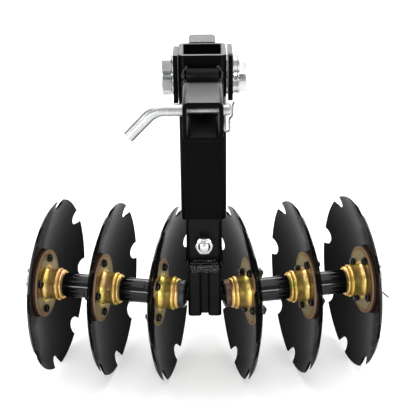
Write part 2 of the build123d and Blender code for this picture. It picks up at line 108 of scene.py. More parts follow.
# Hexagons, threads and washers
HEX_FACE = 0.475                 # radius of a hexagon's turned face, over its width across flats
HEX_LIFT = 0.03                  # height of the face under a head, over the width across flats
HEX_SLOPE = math.tan(math.radians(30))
RECESS = (0.34, 0.3, 0.02)       # outer and inner radius and depth of a head's recess, over that width
HEAD_EASE = 0.4 * MM
DOME_STEPS = 6
DIMPLE = 0.16                    # radius of a domed head's dimple, over the head's diameter
DIMPLE_DEPTH = 0.5 * MM
BOLT_POINT = 0.86                # radius of the tip, over the thread's root
NUT_BORE = 0.97                  # over the bolt's diameter
NUT_LIP = 0.06                   # chamfer of the bore, over the same
THREAD_DEPTH = 0.6               # over the pitch
THREAD_STEPS = 8                 # rings in each turn of a thread
WASHER_CLEARANCE = 0.6 * MM
WASHER_EASE = 0.4 * MM
SPRING_WASHER_FILL = 0.86        # thickness over the room between the flat washers
SPRING_WASHER_TURN = 1.3         # radians

# Weld beads
BEAD_RADIUS = 2.6 * MM
BEAD_PITCH = 3.2 * MM            # length of one scallop
BEAD_STEP = 0.8 * MM
BEAD_SIDES = 12
BEAD_CREASE = 70                 # degrees
ASKEW = (0.31, 0.47, 0.83)       # direction that no bead runs along
BEAD_LUMPS = 260                 # noise scale in each metre
EVEN_BEAD, LUMPY_BEAD, COARSE_BEAD = 0.16, 0.4, 0.45    # height of the lumps, over the radius
SHANK_CORNER = 6 * MM
BAR_BEAD = 2.7 * MM              # radius
BAR_LAYERS = 3                   # passes at each end of the stop bar
LAYER_IN = 2.6 * MM              # each further pass has a smaller arc
LAYER_OUT = 1.7 * MM             # and lies farther out
BAR_ARC = (-100, 85)             # degrees from the bar's rear upward
TAB_BEADS = (2.0 * MM, 2.8 * MM, 2.2 * MM)    # radii at the rear tab's top, bottom and sides
TAB_WELD_DROP = 0.5 * MM
FOOT_BEAD = 3.2 * MM             # radius in front of the lower tube's foot

# Edges of the plain painted pieces
EDGE_WIDTH = 0.7 * MM
EDGE_ANGLE = 40                  # degrees
EDGE_SEGMENTS = 3
MERGE_REACH = 0.01 * MM

# Where the finishes change
TOP_LIGHT_FACING = (0.8, 0.97)                # upward parts of the normal between which the painted top light fades in
TOP_LIGHT_HEIGHTS = (18 * MM, 23 * MM)        # heights between which it fades in
SNOUT_RADII = (24.5 * MM, 30 * MM)       # gold gives way to olive
RIM_HIGHLIGHT_RADII = (48.6 * MM, 50.2 * MM)       # rosy turned rim of the flange, a painted highlight
SHADED_RING_RADII = (44 * MM, 46 * MM)       # painted shade on the backing ring
SHADED_RING_STATIONS = (3.2 * MM, 3.8 * MM)  # its start behind the flange
SNOUT_WANDER = 8 * MM                    # how far that change of gold to olive wanders
LATHE_WAVES = 2600                       # radians in each metre
BRIGHT_AXLE = (150 * MM, 200 * MM)       # distance from the middle at which the axle turns to bare steel

# Pairs of dark and light tones of the black paints. The frame's deep black and the soft black of the lower tube,
# blocks, centre plate and stop bar are one paint: painted shade on the frame, painted light on the others.
SHADED_DEEP_BLACK = ((0.001, 0.001, 0.0011), (0.002, 0.002, 0.0022))
BLACK = ((0.002, 0.002, 0.0022), (0.004, 0.004, 0.0044))
LIT_SOFT_BLACK = ((0.003, 0.003, 0.0033), (0.006, 0.006, 0.0066))

# Studio and camera
FLOOR_HALF = 9
FLOOR_GLOW = 0.24                # seen by the camera alone, so that the floor shows white
WORLD_LIGHT = 0.55
WORLD_SEEN = 1.0                 # seen by the camera alone
CAMERA_PLACE = (-0.0015, -1.1475, 0.3904)
CAMERA_YAW, CAMERA_PITCH, CAMERA_ROLL = 0.35, 24.74, -0.5    # degrees
CAMERA_LENS, CAMERA_SENSOR = 81.68, 36    # millimetres
CAMERA_NEAR = 0.01


# Meshes

def mesh_object(name, vertices, faces, crease=CREASE):
    """Object from plain lists, shaded smooth with sharp edges over an angle in degrees."""
    mesh = bpy.data.meshes.new(name)
    mesh.from_pydata([tuple(v) for v in vertices], [], faces)
    mesh.validate()
    mesh.update()
    for polygon in mesh.polygons:
        polygon.use_smooth = True
    mesh.set_sharp_from_angle(angle=math.radians(crease))
    thing = bpy.data.objects.new(name, mesh)
    bpy.context.scene.collection.objects.link(thing)
    return thing


class Shell:
    """Vertices and faces of one piece, gathered from several lofts."""

    def __init__(self):
        self.vertices = []
        self.faces = []

    def loft(self, rings, closed=False):
        """Skin over rings of equal length; closed joins last to first, and otherwise both ends are capped."""
        size = len(rings[0])
        base = len(self.vertices)
        for ring in rings:
            self.vertices.extend(ring)
        count = len(rings)
        for row in range(count if closed else count - 1):
            following = (row + 1) % count
            for column in range(size):
                beside = (column + 1) % size
                a, b = base + row * size + column, base + row * size + beside
                c, d = base + following * size + beside, base + following * size + column
                self.faces.append((a, b, c, d))
        if not closed:
            self.faces.append(tuple(base + column for column in reversed(range(size))))
            last = base + (count - 1) * size
            self.faces.append(tuple(last + column for column in range(size)))

    def place(self, matrix, start=0):
        """Move the vertices from an index on by a matrix."""
        self.vertices[start:] = [matrix @ Vector(v) for v in self.vertices[start:]]

    def object(self, name, crease=CREASE):
        return mesh_object(name, self.vertices, self.faces, crease)


def axis_matrix(origin, axis, turn=0.0):
    """Matrix that takes local Z to an axis at an origin, turned about it."""
    axis = Vector(axis).normalized()
    side = Vector((0, 0, 1)).cross(axis)
    side = Vector((1, 0, 0)) if side.length < 1e-6 else side.normalized()
    up = axis.cross(side)
    basis = Matrix((side, up, axis)).transposed().to_4x4()
    return Matrix.Translation(origin) @ basis @ Matrix.Rotation(turn, 4, "Z")


def circle(radius, height):
    """Ring of points; radius and height may be functions of the angle."""
    points = []
    for index in range(RING):
        angle = 2 * math.pi * index / RING
        r = radius(angle) if callable(radius) else radius
        z = height(angle) if callable(height) else height
        points.append(Vector((r * math.cos(angle), r * math.sin(angle), z)))
    return points


def hexagon_radius(across_flats):
    """Radius of a hexagon as a function of the angle."""
    return lambda angle: across_flats / 2 / math.cos(angle % (math.pi / 3) - math.pi / 6)


def hexagon_rings(across_flats, height):
    """Rings up a hexagon head: washer face, flats and turned top corners."""
    corner = hexagon_radius(across_flats)
    face = HEX_FACE * across_flats
    lift = HEX_LIFT * across_flats
    return [
        circle(face, 0),
        circle(face, lift),
        circle(corner, lift * 1.2),
        circle(corner, lambda angle: height - (corner(angle) - face) * HEX_SLOPE),
        circle(face, height),
    ]


def thread_rings(diameter, pitch, start, length):
    """Rings along a screw thread that fades out at both ends."""
    depth = THREAD_DEPTH * pitch
    rows = max(2, round(length / pitch * THREAD_STEPS))
    rings = []
    for row in range(rows + 1):
        z = start + length * row / rows
        fade = min(1.0, row / THREAD_STEPS * 1.5, (rows - row) / THREAD_STEPS * 1.5)

        def radius(angle, z=z, fade=fade):
            phase = (z / pitch - angle / (2 * math.pi)) % 1
            wave = abs(2 * phase - 1)
            return diameter / 2 - depth * (1 - wave * fade)

        rings.append(circle(radius, z))
    return rings


def hexagon_head(across_flats, height):
    """Rings of a hexagon bolt head with a shallow turned recess."""
    outer, inner, depth = (share * across_flats for share in RECESS)
    return hexagon_rings(across_flats, height) + [circle(outer, height), circle(inner, height - depth)]


def domed_head(diameter, height, dome):
    """Rings of a round bolt head whose edge is rounded to a dome, with a small dimple on top."""
    radius = diameter / 2
    rings = [circle(radius - HEAD_EASE, 0), circle(radius, HEAD_EASE)]
    for step in range(DOME_STEPS + 1):
        angle = math.pi / 2 * step / DOME_STEPS
        rings.append(circle(radius - dome * (1 - math.cos(angle)), height - dome * (1 - math.sin(angle))))
    dimple = DIMPLE * diameter
    return rings + [circle(dimple, height), circle(0.8 * dimple, height - DIMPLE_DEPTH)]


def add_bolt(shell, matrix, diameter, head, length, pitch, threaded):
    """Bolt: the rings of its head above local zero, threaded shank below it."""
    start = len(shell.vertices)
    root = diameter / 2 - THREAD_DEPTH * pitch
    rings = [circle(root * BOLT_POINT, -length)]
    rings += thread_rings(diameter, pitch, -length + 0.3 * pitch, threaded)
    rings += [circle(diameter / 2, -length + threaded + 1.2 * pitch), circle(diameter / 2, 0)]
    shell.loft(rings + head)
    shell.place(matrix, start)


def add_nut(shell, matrix, diameter, across_flats, height):
    """Hexagon nut with chamfers at both ends of its bore."""
    start = len(shell.vertices)
    bore = diameter / 2 * NUT_BORE
    lip = NUT_LIP * diameter
    corner = hexagon_radius(across_flats)
    face = HEX_FACE * across_flats
    rings = [
        circle(bore, lip),
        circle(bore + lip, 0),
        circle(face, 0),
        circle(corner, lambda angle: (corner(angle) - face) * HEX_SLOPE),
        circle(corner, lambda angle: height - (corner(angle) - face) * HEX_SLOPE),
        circle(face, height),
        circle(bore + lip, height),
        circle(bore, height - lip),
    ]
    shell.loft(rings, closed=True)
    shell.place(matrix, start)


def add_washer(shell, matrix, inner, outer, thickness):
    """Flat washer with eased outer edges."""
    start = len(shell.vertices)
    ease = min(0.25 * thickness, WASHER_EASE)
    rings = [
        circle(inner / 2, 0),
        circle(outer / 2 - ease, 0),
        circle(outer / 2, ease),
        circle(outer / 2, thickness - ease),
        circle(outer / 2 - ease, thickness),
        circle(inner / 2, thickness),
    ]
    shell.loft(rings, closed=True)
    shell.place(matrix, start)


def add_spring_washer(shell, matrix, inner, outer, thickness, room):
    """Split spring washer that climbs a little over its one turn."""
    start = len(shell.vertices)
    rings = []
    steps = 60
    gap = math.radians(9)
    rise = room - thickness
    for step in range(steps + 1):
        angle = gap / 2 + (2 * math.pi - gap) * step / steps
        z = rise * step / steps
        ring = []
        for r, h in ((inner / 2, 0), (outer / 2, 0), (outer / 2, thickness), (inner / 2, thickness)):
            ring.append(Vector((r * math.cos(angle), r * math.sin(angle), z + h)))
        rings.append(ring)
    shell.loft(rings)
    shell.place(matrix, start)


def resample(path, step, closed):
    """Even points along a path of straight runs."""
    corners = [Vector(p) for p in path]
    if closed:
        corners.append(corners[0])
    points = [corners[0]]
    for a, b in zip(corners, corners[1:]):
        pieces = max(1, round((b - a).length / step))
        points += [a.lerp(b, k / pieces) for k in range(1, pieces + 1)]
    return points[:-1] if closed else points


def add_bead(shell, path, radius, seed, closed=False, rough=EVEN_BEAD):
    """Weld bead along a path: overlapping scallops with lumps, tapered at open ends."""
    points = resample(path, BEAD_STEP, closed)
    count = len(points)
    rings = []
    for index, point in enumerate(points):
        ahead = points[(index + 1) % count] if closed else points[min(index + 1, count - 1)]
        behind = points[index - 1] if closed or index else points[0]
        forward = (ahead - behind).normalized()
        side = forward.cross(Vector(ASKEW)).normalized()
        up = side.cross(forward)
        scallop = (index * BEAD_STEP / BEAD_PITCH) % 1
        swell = 0.9 + 0.2 * math.sqrt(1 - scallop * scallop)
        from_end = (min(index, count - 1 - index) + 0.6) * BEAD_STEP
        end = 1.0 if closed else min(1.0, from_end / (1.2 * radius))
        ring = []
        for corner in range(BEAD_SIDES):
            angle = 2 * math.pi * corner / BEAD_SIDES
            out = side * math.cos(angle) + up * math.sin(angle)
            lump = 1 + rough * noise.noise(point * BEAD_LUMPS + out * 0.7 + Vector((seed, 0, 0)))
            ring.append(point + out * radius * swell * lump * math.sqrt(end))
        rings.append(ring)
    shell.loft(rings, closed=closed)


def rounded_square(half, radius):
    """Points round the corners of a square about zero, as pairs."""
    points = []
    for quarter, (x, y) in enumerate(CORNERS):
        for k in range(CORNER_STEPS + 1):
            angle = math.pi / 2 * (quarter + k / CORNER_STEPS)
            points.append((
                x * (half - radius) + radius * math.cos(angle),
                y * (half - radius) + radius * math.sin(angle),
            ))
    return points


# Materials

class Finish:
    """A node material under construction."""

    def __init__(self, name):
        self.material = bpy.data.materials.new(name)
        self.material.use_nodes = True
        self.tree = self.material.node_tree
        self.shader = self.tree.nodes["Principled BSDF"]
        self.coordinates = self.node("ShaderNodeTexCoord").outputs["Object"]

    def node(self, kind, **settings):
        """New node of a kind, with its settings."""
        item = self.tree.nodes.new(kind)
        for key, value in settings.items():
            setattr(item, key, value)
        return item

    def set(self, **values):
        """Fixed values of the shader's inputs, with _ for each space in a name."""
        for key, value in values.items():
            self.shader.inputs[key.replace("_", " ")].default_value = value

    def link(self, source, target):
        self.tree.links.new(source, target)

    def noise(self, scale, detail=3.0, roughness=0.5):
        """Noise over the object's own coordinates."""
        item = self.node("ShaderNodeTexNoise")
        item.inputs["Scale"].default_value = scale
        item.inputs["Detail"].default_value = detail
        item.inputs["Roughness"].default_value = roughness
        self.link(self.coordinates, item.inputs["Vector"])
        return item.outputs["Fac"]

    def spread(self, source, low, high, start=0.3, end=0.7):
        """Value that goes from low to high while the source goes from start to end."""
        item = self.node("ShaderNodeMapRange")
        item.inputs["From Min"].default_value = start
        item.inputs["From Max"].default_value = end
        item.inputs["To Min"].default_value = low
        item.inputs["To Max"].default_value = high
        self.link(source, item.inputs["Value"])
        return item.outputs["Result"]

    def ramp(self, source, stops):
        """Colour ramp from pairs of a position and a colour."""
        item = self.node("ShaderNodeValToRGB")
        elements = item.color_ramp.elements
        while len(elements) < len(stops):
            elements.new(0.5)
        for element, (position, colour) in zip(elements, stops):
            element.position = position
            element.color = (*colour, 1)
        self.link(source, item.inputs["Fac"])
        return item.outputs["Color"]

    def part(self, vector, axis):
        """One component of a vector: X, Y or Z."""
        item = self.node("ShaderNodeSeparateXYZ")
        self.link(vector, item.inputs[0])
        return item.outputs[axis]

    def vector_math(self, operation, vector, other=None):
        """Outputs of a vector operation, with a fixed second vector where one is given."""
        item = self.node("ShaderNodeVectorMath", operation=operation)
        self.link(vector, item.inputs[0])
        if other is not None:
            item.inputs[1].default_value = other
        return item.outputs

    def math(self, operation, a, b=0):
        """Operation on two values, each a number or another node's output."""
        item = self.node("ShaderNodeMath", operation=operation)
        for socket, value in zip(item.inputs, (a, b)):
            if isinstance(value, (int, float)):
                socket.default_value = value
            else:
                self.link(value, socket)
        return item.outputs["Value"]

    def blend(self, factor, a, b):
        """Colour between a and b."""
        item = self.node("ShaderNodeMix", data_type="RGBA")
        for socket, value in zip((item.inputs[0], item.inputs[6], item.inputs[7]), (factor, a, b)):
            if isinstance(value, (int, float)):
                socket.default_value = value
            elif isinstance(value, tuple):
                socket.default_value = (*value, 1)
            else:
                self.link(value, socket)
        return item.outputs[2]

    def bump(self, *layers):
        """Chain of bumps, each given as height, strength and distance in metres."""
        normal = None
        for height, strength, distance in layers:
            item = self.node("ShaderNodeBump")
            item.inputs["Strength"].default_value = strength
            item.inputs["Distance"].default_value = distance
            self.link(height, item.inputs["Height"])
            if normal:
                self.link(normal, item.inputs["Normal"])
            normal = item.outputs["Normal"]
        self.link(normal, self.shader.inputs["Normal"])

    def to(self, source, socket):
        """Link to an input of the shader."""
        self.link(source, self.shader.inputs[socket])


def paint(name, dark, light, smooth, rough, gloss, ripple, haze=0.0, top_light=None):
    """Black paint: soft tones, uneven gloss, ripple, orange peel, haze, and a painted top light: a paler colour on
    what faces up.
    """
    finish = Finish(name)
    tone = finish.spread(finish.noise(16, 5, 0.6), 0, 1)
    colour = finish.blend(tone, dark, light)
    # Painted top light: upward faces above a height get a paler colour that stands in for light from above.
    if top_light:
        normal = finish.node("ShaderNodeTexCoord").outputs["Normal"]
        lying = finish.spread(finish.part(normal, "Z"), 0, 1, *TOP_LIGHT_FACING)
        open_sky = finish.spread(finish.part(finish.coordinates, "Z"), 0, 1, *TOP_LIGHT_HEIGHTS)
        lit_tops = finish.blend(tone, top_light, tuple(1.15 * part for part in top_light))
        colour = finish.blend(finish.math("MULTIPLY", lying, open_sky), colour, lit_tops)
    finish.to(colour, "Base Color")
    finish.to(finish.spread(finish.noise(38, 4, 0.55), smooth, rough), "Roughness")
    finish.set(IOR=1.45, Specular_IOR_Level=gloss, Sheen_Weight=haze, Sheen_Roughness=0.24)
    finish.bump(
        (finish.noise(22, 2), ripple, 0.8 * MM),
        (finish.noise(420, 2), 0.05, 0.08 * MM),
    )
    return finish.material


def zinc(name, tints, smooth, rough):
    """Plated or blackened steel: cloudy tints over metal with fine grain."""
    finish = Finish(name)
    cloud = finish.noise(75, 4, 0.55)
    finish.to(finish.ramp(cloud, tints), "Base Color")
    finish.to(finish.spread(finish.noise(260, 3), smooth, rough), "Roughness")
    finish.set(Metallic=1.0)
    finish.bump((finish.noise(1300, 2), 0.04, 0.04 * MM), (finish.noise(70, 2), 0.04, 0.1 * MM))
    return finish.material


def hub_plating(name, origin, axis):
    """Yellow zinc on one axle's hubs: lathe rings, gold snout, olive flange, a rosy rim painted lighter and less
    metallic as a painted highlight, and painted shade on the backing ring.
    """
    finish = Finish(name)
    offset = finish.vector_math("SUBTRACT", finish.coordinates, origin)["Vector"]
    axial = finish.vector_math("DOT_PRODUCT", offset, axis)["Value"]
    across = finish.vector_math("CROSS_PRODUCT", offset, axis)["Vector"]
    radius = finish.vector_math("LENGTH", across)["Value"]

    cloud = finish.noise(24, 2, 0.5)
    gold = finish.ramp(cloud, (
        (0.30, (0.80, 0.70, 0.18)),
        (0.43, (0.92, 0.66, 0.18)),
        (0.53, (0.96, 0.66, 0.24)),
        (0.64, (0.94, 0.54, 0.28)),
        (0.76, (0.86, 0.44, 0.30)),
    ))
    olive = finish.ramp(cloud, (
        (0.32, (0.16, 0.158, 0.115)),
        (0.55, (0.20, 0.19, 0.145)),
        (0.72, (0.27, 0.21, 0.175)),
    ))
    wander = finish.math("MULTIPLY", finish.math("SUBTRACT", cloud, 0.5), SNOUT_WANDER)
    face = finish.spread(finish.math("ADD", radius, wander), 0, 1, *SNOUT_RADII)
    # Rim: a painted highlight, a lighter rosy colour made less metallic so that the flange's edge shows bright.
    rim_highlight = finish.spread(radius, 0, 1, *RIM_HIGHLIGHT_RADII)
    # Painted shade: dark brown on the backing ring behind the flange, where shade falls.
    station = finish.math("FLOORED_MODULO", axial, DISC_SPACING)
    behind = finish.spread(station, 0, 1, *SHADED_RING_STATIONS)
    ring = finish.math("MULTIPLY", behind, finish.spread(radius, 0, 1, *SHADED_RING_RADII))
    colour = finish.blend(rim_highlight, finish.blend(face, gold, olive), (0.74, 0.48, 0.33))
    finish.to(finish.blend(ring, colour, (0.15, 0.085, 0.05)), "Base Color")
    finish.to(finish.spread(finish.noise(60, 2), 0.29, 0.35), "Roughness")
    finish.to(finish.spread(rim_highlight, 0.84, 0.35, 0, 1), "Metallic")
    finish.set(Specular_IOR_Level=0.25, Specular_Tint=(0.66, 0.56, 0.38, 1))
    turning = finish.math("SINE", finish.math("MULTIPLY", finish.math("ADD", axial, radius), LATHE_WAVES))
    finish.bump((turning, 0.01, 0.03 * MM))
    return finish.material


def collar_steel(name):
    """Dull turned steel, greyer on the left gang's collar and browner on the right one's."""
    finish = Finish(name)
    side = finish.spread(finish.part(finish.coordinates, "X"), 0, 1, -1 * MM, 1 * MM)
    cloud = finish.noise(60, 4, 0.55)
    grey = finish.ramp(cloud, ((0.3, (0.10, 0.105, 0.11)), (0.7, (0.17, 0.175, 0.18))))
    brown = finish.ramp(cloud, ((0.3, (0.18, 0.115, 0.075)), (0.7, (0.28, 0.185, 0.125))))
    finish.to(finish.blend(side, grey, brown), "Base Color")
    finish.to(finish.spread(finish.noise(180, 3), 0.34, 0.48), "Roughness")
    finish.set(Metallic=1.0)
    finish.bump((finish.noise(240, 3), 0.1, 0.08 * MM))
    return finish.material


def axle_steel(name):
    """Bare steel at the outer ends, near black nearer the middle."""
    finish = Finish(name)
    from_middle = finish.math("ABSOLUTE", finish.part(finish.coordinates, "X"))
    end = finish.spread(from_middle, 0, 1, *BRIGHT_AXLE)
    cloud = finish.noise(75, 4, 0.55)
    steel = finish.ramp(cloud, (
        (0.3, (0.33, 0.33, 0.34)), (0.55, (0.46, 0.46, 0.47)), (0.75, (0.52, 0.50, 0.47)),
    ))
    black = finish.ramp(cloud, ((0.3, (0.006, 0.006, 0.0065)), (0.7, (0.012, 0.012, 0.0125))))
    finish.to(finish.blend(end, black, steel), "Base Color")
    finish.to(finish.spread(finish.noise(260, 3), 0.22, 0.42), "Roughness")
    finish.set(Metallic=1.0)
    finish.bump((finish.noise(1300, 2), 0.04, 0.04 * MM))
    return finish.material


def floor_finish():
    """Pale studio floor with a trace of tone, lifted to white for the camera."""
    finish = Finish("studio_floor_matt")
    tone = finish.noise(3, 3)
    finish.to(finish.blend(finish.spread(tone, 0, 1), (0.88, 0.88, 0.88), (0.91, 0.91, 0.91)), "Base Color")
    finish.to(finish.spread(finish.noise(40, 2), 0.85, 0.95), "Roughness")
    seen = finish.node("ShaderNodeLightPath").outputs["Is Camera Ray"]
    finish.to(finish.math("MULTIPLY", seen, FLOOR_GLOW), "Emission Strength")
    finish.set(Specular_IOR_Level=0.1, Emission_Color=(1, 1, 1, 1))
    return finish.material


spins = {joint["child"]: joint for joint in frame["joints"]}


def axle_of(side):
    """Origin and outward direction of a gang's axle, from its inner disc's hinge."""
    joint = spins[f"disc_{side}_inner"]
    axis = Vector(joint["axis"]).normalized()
    if axis.x * (1 if side == "right" else -1) < 0:
        axis = -axis
    return Vector(joint["pos_m"]), axis


sides = ("left", "right")
finishes = {
    # Frame black: painted shade, a deeper black than the lower parts, with the painted top light on its upward
    # faces.
    "frame_paint": paint("black_frame_paint", *SHADED_DEEP_BLACK, smooth=0.3, rough=0.4, gloss=0.04, ripple=0.04,
                         haze=0.7, top_light=(0.13, 0.13, 0.132)),
    "blade_paint": paint("black_blade_paint", *BLACK, smooth=0.14, rough=0.2, gloss=0.03, ripple=0.03),
    "bright_zinc": zinc("bright_zinc_plate", (
        (0.3, (0.50, 0.51, 0.53)), (0.5, (0.62, 0.63, 0.64)), (0.7, (0.70, 0.70, 0.69)),
    ), smooth=0.14, rough=0.26),
    "black_oxide": zinc("black_oxide_steel", (
        (0.3, (0.02, 0.02, 0.021)), (0.6, (0.045, 0.044, 0.043)), (0.8, (0.08, 0.075, 0.07)),
    ), smooth=0.22, rough=0.4),
    "bare_steel": axle_steel("bare_axle_steel"),
}
tube_paint = paint("gloss_black_tubes", *BLACK, smooth=0.12, rough=0.17, gloss=0.42, ripple=0.01)
# The frame's black painted lighter for the lower tube, blocks, centre plate and stop bar: painted light.
lit_lower_paint = paint("black_lower_paint", *LIT_SOFT_BLACK, smooth=0.26, rough=0.36, gloss=0.11, ripple=0.04)
weld_paint = paint("gloss_black_welds", *BLACK, smooth=0.03, rough=0.08, gloss=0.5, ripple=0.1)
wire_steel = zinc("dark_cotter_wire", (
    (0.3, (0.06, 0.06, 0.062)), (0.6, (0.13, 0.13, 0.132)), (0.8, (0.20, 0.195, 0.19)),
), smooth=0.25, rough=0.4)
pin_zinc = zinc("dull_zinc_pin", (
    (0.3, (0.44, 0.45, 0.47)), (0.5, (0.54, 0.55, 0.56)), (0.7, (0.62, 0.62, 0.61)),
), smooth=0.26, rough=0.34)
clip_zinc = zinc("dull_zinc_clip", (
    (0.3, (0.22, 0.225, 0.235)), (0.5, (0.30, 0.305, 0.31)), (0.7, (0.36, 0.36, 0.355)),
), smooth=0.2, rough=0.3)
own_finishes = {
    "spacer_tubes_left": tube_paint,
    "spacer_tubes_right": tube_paint,
    "stop_bar": lit_lower_paint,
    "lower_tube": lit_lower_paint,
    "gang_block_left": lit_lower_paint,
    "gang_block_right": lit_lower_paint,
    "centre_plate": lit_lower_paint,
    "hitch_pin": pin_zinc,
    "hitch_pin_clip": clip_zinc,
    "cotter_pins": wire_steel,
    "gang_collars": collar_steel("dull_collar_steel"),
}
hub_finishes = {side: hub_plating(f"yellow_zinc_{side}", *axle_of(side)) for side in sides}


def dress(thing, material):
    """Give an object one material."""
    thing.data.materials.clear()
    thing.data.materials.append(material)


def keep(thing, body, slot, *nodes, material=None):
    """Paint a new piece with its slot's finish or a given material, tie it to its body, and let it stand for CAD
    nodes.
    """
    dress(thing, material or finishes[slot])
    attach(thing, body)
    if nodes:
        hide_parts(*nodes)


for row in frame["record"]["subparts"]:
    node = frame["nodes"][row["node"]]
    slot = row["material_slot"]
    if row["node"] in own_finishes:
        dress(node, own_finishes[row["node"]])
    elif slot == "yellow_zinc":
        dress(node, hub_finishes["left" if "_left_" in row["node"] else "right"])
    else:
        dress(node, finishes[slot])

# Soft edges on the plain painted pieces
soft_edged = (
    "side_plate_left", "side_plate_right", "rear_tab", "gang_block_left", "gang_block_right", "centre_plate",
    "mast_tube", "hitch_shank", "lower_tube", "stop_bar",
)
for name in soft_edged:
    node = frame["nodes"][name]
    weld = node.modifiers.new("join", "WELD")
    weld.merge_threshold = MERGE_REACH
    bevel = node.modifiers.new("soft_edges", "BEVEL")
    bevel.width = EDGE_WIDTH
    bevel.segments = EDGE_SEGMENTS
    bevel.limit_method = "ANGLE"
    bevel.angle_limit = math.radians(EDGE_ANGLE)
    bevel.harden_normals = True

# Cross bolts, nuts and washers at the mast's top
mast_low, mast_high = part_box("mast_tube")
plate_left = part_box("side_plate_left")
plate_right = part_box("side_plate_right")
bolts_low, bolts_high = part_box("cross_bolts")
nuts_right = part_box("cross_bolt_nuts")[1].x
mast_y = (mast_low.y + mast_high.y) / 2
heights = (mast_high.z - UPPER_BOLT_DROP, mast_high.z - UPPER_BOLT_DROP - BOLT_SPACING)
head_x = bolts_high.x - BOLT_HEAD
to_right, to_left = Vector((1, 0, 0)), Vector((-1, 0, 0))
inner = BOLT_DIAMETER + WASHER_CLEARANCE

bolts, nuts, washers = Shell(), Shell(), Shell()
for index, height in enumerate(heights):
    head_turn = math.radians(HEAD_TURNS[index])
    add_bolt(bolts, axis_matrix((head_x, mast_y, height), to_right, head_turn), BOLT_DIAMETER,
             hexagon_head(BOLT_FLATS, BOLT_HEAD), head_x - bolts_low.x, BOLT_PITCH, BOLT_THREAD)
    nut_turn = math.radians(NUT_TURNS[index])
    add_nut(nuts, axis_matrix((nuts_right, mast_y, height), to_left, nut_turn),
            BOLT_DIAMETER, BOLT_FLATS, BOLT_NUT)
    at = plate_right[1].x
    add_washer(washers, axis_matrix((at, mast_y, height), to_right), inner, WASHER_DIAMETER, FLAT_WASHER)
    room = head_x - at - 2 * FLAT_WASHER
    spring_turn = SPRING_WASHER_TURN + index
    add_spring_washer(washers, axis_matrix((at + FLAT_WASHER, mast_y, height), to_right, spring_turn),
                      inner, SPRING_WASHER_DIAMETER, SPRING_WASHER_FILL * room, room)
    add_washer(washers, axis_matrix((at + FLAT_WASHER + room, mast_y, height), to_right),
               inner, WASHER_DIAMETER, FLAT_WASHER)
    gaps = ((nuts_right, plate_left[0].x), (plate_left[1].x, mast_low.x), (mast_high.x, plate_right[0].x))
    for start, end in gaps:
        add_washer(washers, axis_matrix((start, mast_y, height), to_right),
                   inner, WASHER_DIAMETER, end - start)
keep(bolts.object("cross_bolts_threaded"), "frame", "bright_zinc", "cross_bolts")
keep(nuts.object("cross_bolt_nuts_turned"), "frame", "bright_zinc", "cross_bolt_nuts")
keep(washers.object("cross_bolt_washers_stacked"), "frame", "bright_zinc", "cross_bolt_washers")

# Bolt and nut through the lower tube
tube_low, tube_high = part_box("lower_tube")
tube_bolt_low, tube_bolt_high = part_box("lower_tube_bolt")
tube_bolt_z = (tube_bolt_low.z + tube_bolt_high.z) / 2
tube_bolt, tube_nut = Shell(), Shell()
add_bolt(tube_bolt, axis_matrix((0, tube_high.y, tube_bolt_z), (0, 1, 0)), BOLT_DIAMETER,
         hexagon_head(BOLT_FLATS, BOLT_HEAD), tube_high.y - tube_bolt_low.y, BOLT_PITCH, BOLT_THREAD)
add_nut(tube_nut, axis_matrix((0, tube_low.y, tube_bolt_z), (0, -1, 0)), BOLT_DIAMETER, BOLT_FLATS, BOLT_NUT)
keep(tube_bolt.object("lower_tube_bolt_threaded"), "frame", "bright_zinc", "lower_tube_bolt")
keep(tube_nut.object("lower_tube_nut_turned"), "frame", "bright_zinc", "lower_tube_nut")


# Disc bolts and nuts

def bolt_angle(node, matrix):
    """Angle of the first of the evenly spaced bolts in a CAD node, seen along a disc's axis."""
    inverse = matrix.inverted()
    total = complex(0, 0)
    for vertex in frame["nodes"][node].data.vertices:
        spot = inverse @ vertex.co
        total += complex(spot.x, spot.y) ** DISC_BOLT_COUNT
    return math.atan2(total.imag, total.real) / DISC_BOLT_COUNT


for body, joint in spins.items():
    key = body.replace("disc_", "", 1)
    side = key.split("_")[0]
    outward = axle_of(side)[1]
    flange = Vector(joint["pos_m"])
    disc = axis_matrix(flange, outward)
    first = bolt_angle(f"disc_nuts_{key}", disc)
    bolts, nuts = Shell(), Shell()
    for index in range(DISC_BOLT_COUNT):
        angle = first + 2 * math.pi * index / DISC_BOLT_COUNT
        spot = Vector((DISC_BOLT_REACH * math.cos(angle), DISC_BOLT_REACH * math.sin(angle), 0))
        turn = DISC_BOLT_TURNS[0] + DISC_BOLT_TURNS[1] * index
        add_bolt(bolts, axis_matrix(disc @ spot, -outward, turn), DISC_BOLT_DIAMETER,
                 domed_head(DISC_HEAD_DIAMETER, DISC_HEAD_HEIGHT, DISC_HEAD_DOME),
                 DISC_BOLT_LENGTH, DISC_BOLT_PITCH, DISC_BOLT_THREAD)
        back = spot + Vector((0, 0, BLADE_BACK))
        add_nut(nuts, axis_matrix(disc @ back, outward, turn),
                DISC_BOLT_DIAMETER, DISC_BOLT_FLATS, DISC_BOLT_NUT)
    keep(bolts.object(f"disc_bolts_{key}_threaded"), body, "black_oxide", f"disc_bolts_{key}")
    keep(nuts.object(f"disc_nuts_{key}_turned"), body, "black_oxide", f"disc_nuts_{key}")

